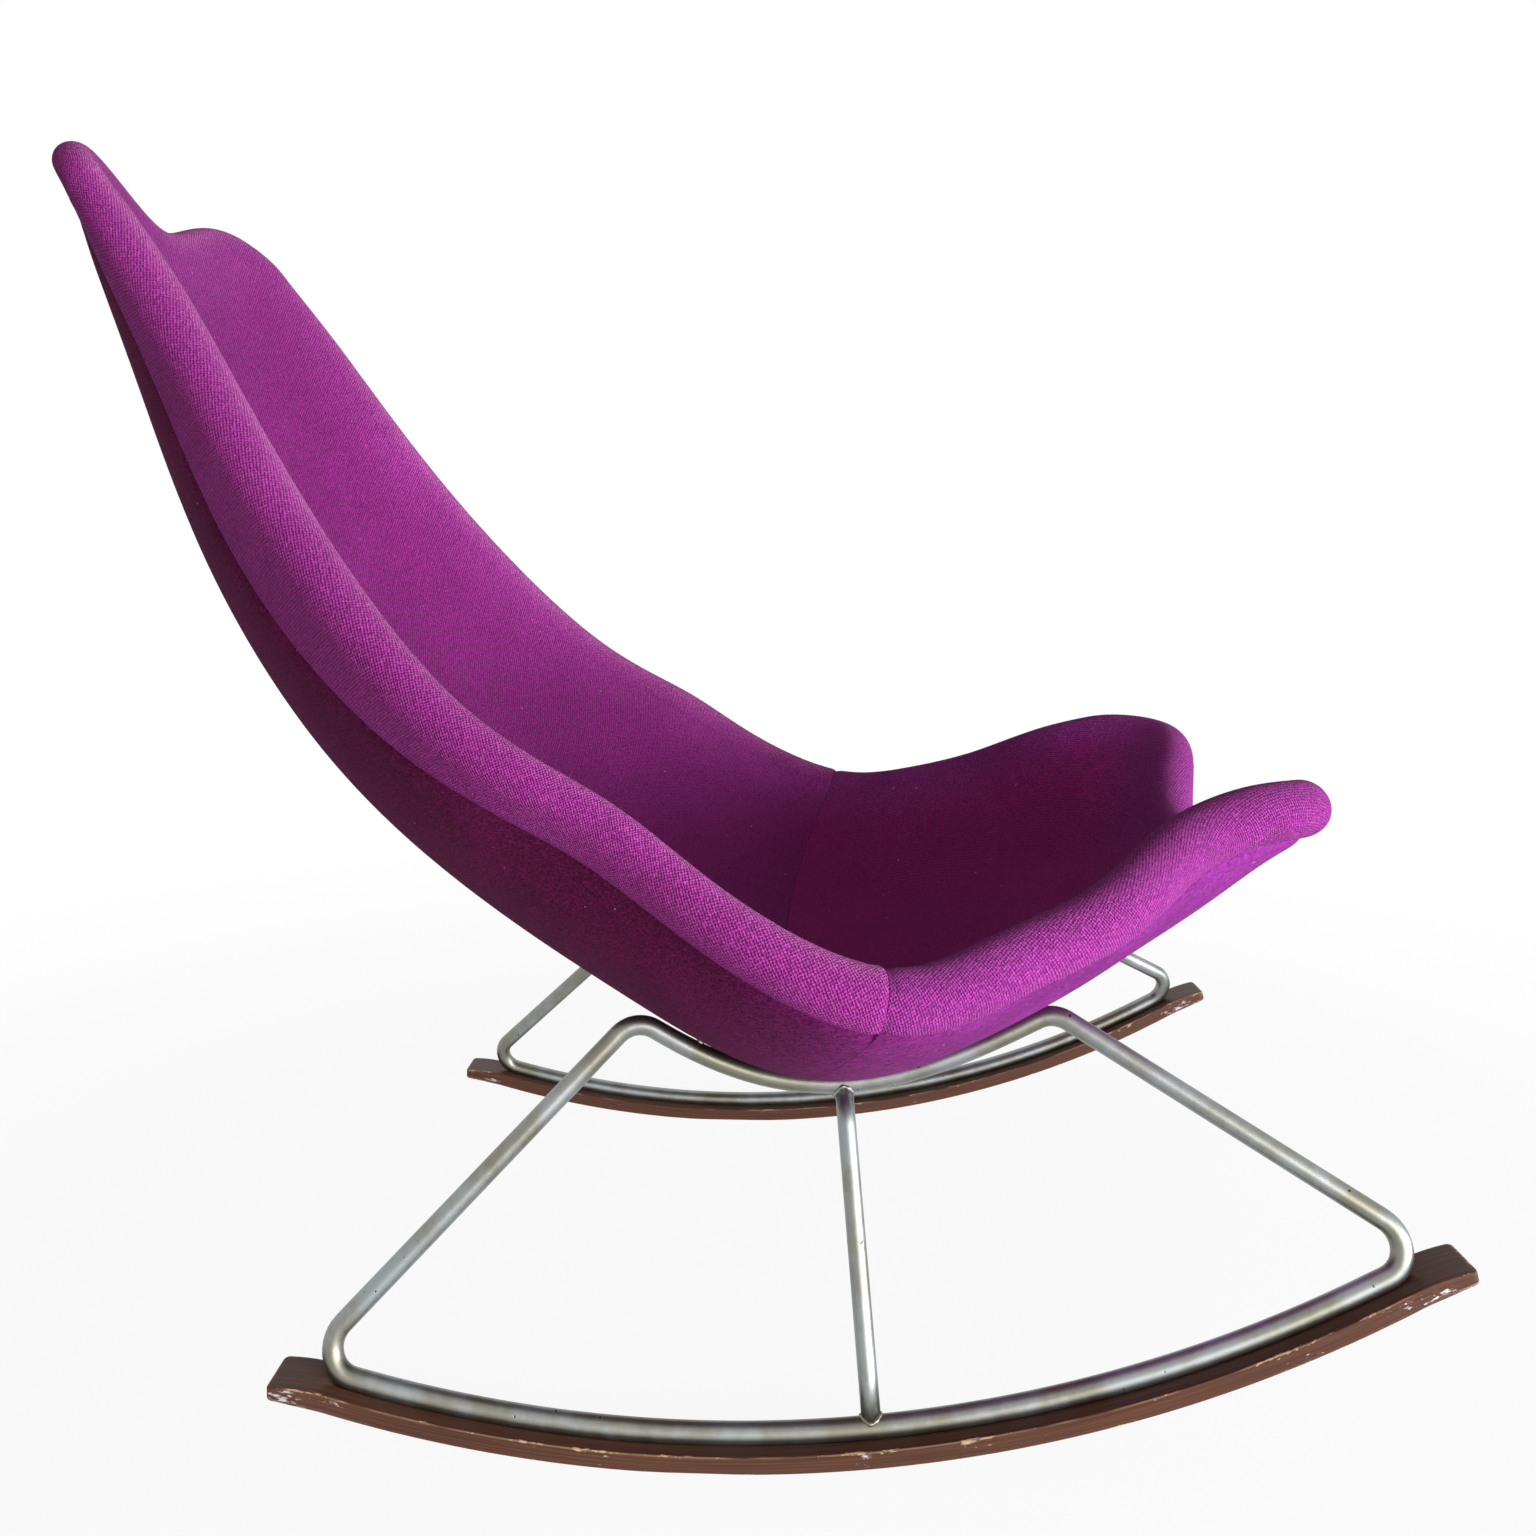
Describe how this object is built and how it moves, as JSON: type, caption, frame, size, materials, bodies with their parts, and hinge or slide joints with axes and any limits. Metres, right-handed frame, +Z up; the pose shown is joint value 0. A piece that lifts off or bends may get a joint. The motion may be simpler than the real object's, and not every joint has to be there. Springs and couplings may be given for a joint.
{
  "type": "upholstered rocking chair",
  "caption": "High-backed upholstered shell chair with a dipped headrest and front edge, carried by bent round-bar side frames on curved wooden rockers.",
  "frame": {"origin": "middle of the overall box at floor level", "axes": "+Z up, the chair faces -Y, X runs across it and +X is the sitter's left"},
  "size_m": [0.7658, 1.0074, 0.9135],
  "materials": {
    "wool_cover": "matte",
    "felted_cover": "matte",
    "foam": "matte",
    "wadding": "matte",
    "plywood": "matte",
    "rocker_wood": "satin",
    "satin_steel": "satin",
    "screw_steel": "satin"
  },
  "bodies": {
    "root": {"back_front_cover": "wool_cover", "back_foam": "foam", "back_ply_shell": "plywood", "back_rear_wadding": "wadding", "back_rear_cover": "felted_cover", "seat_top_cover": "wool_cover", "seat_foam": "foam", "seat_ply_shell": "plywood", "seat_under_wadding": "wadding", "seat_under_cover": "felted_cover", "rocker_left": "rocker_wood", "rocker_right": "rocker_wood", "side_frame_left": "satin_steel", "side_frame_right": "satin_steel", "strut_left": "satin_steel", "strut_right": "satin_steel", "rocker_screw_left_1": "screw_steel", "rocker_screw_left_2": "screw_steel", "rocker_screw_left_3": "screw_steel", "rocker_screw_right_1": "screw_steel", "rocker_screw_right_2": "screw_steel", "rocker_screw_right_3": "screw_steel", "shell_bolt_left_1": "screw_steel", "shell_bolt_left_2": "screw_steel", "shell_bolt_left_3": "screw_steel", "shell_bolt_left_4": "screw_steel", "shell_bolt_right_1": "screw_steel", "shell_bolt_right_2": "screw_steel", "shell_bolt_right_3": "screw_steel", "shell_bolt_right_4": "screw_steel", "threaded_insert_left_1": "screw_steel", "threaded_insert_left_2": "screw_steel", "threaded_insert_left_3": "screw_steel", "threaded_insert_left_4": "screw_steel", "threaded_insert_right_1": "screw_steel", "threaded_insert_right_2": "screw_steel", "threaded_insert_right_3": "screw_steel", "threaded_insert_right_4": "screw_steel"}
  },
  "joints": []
}
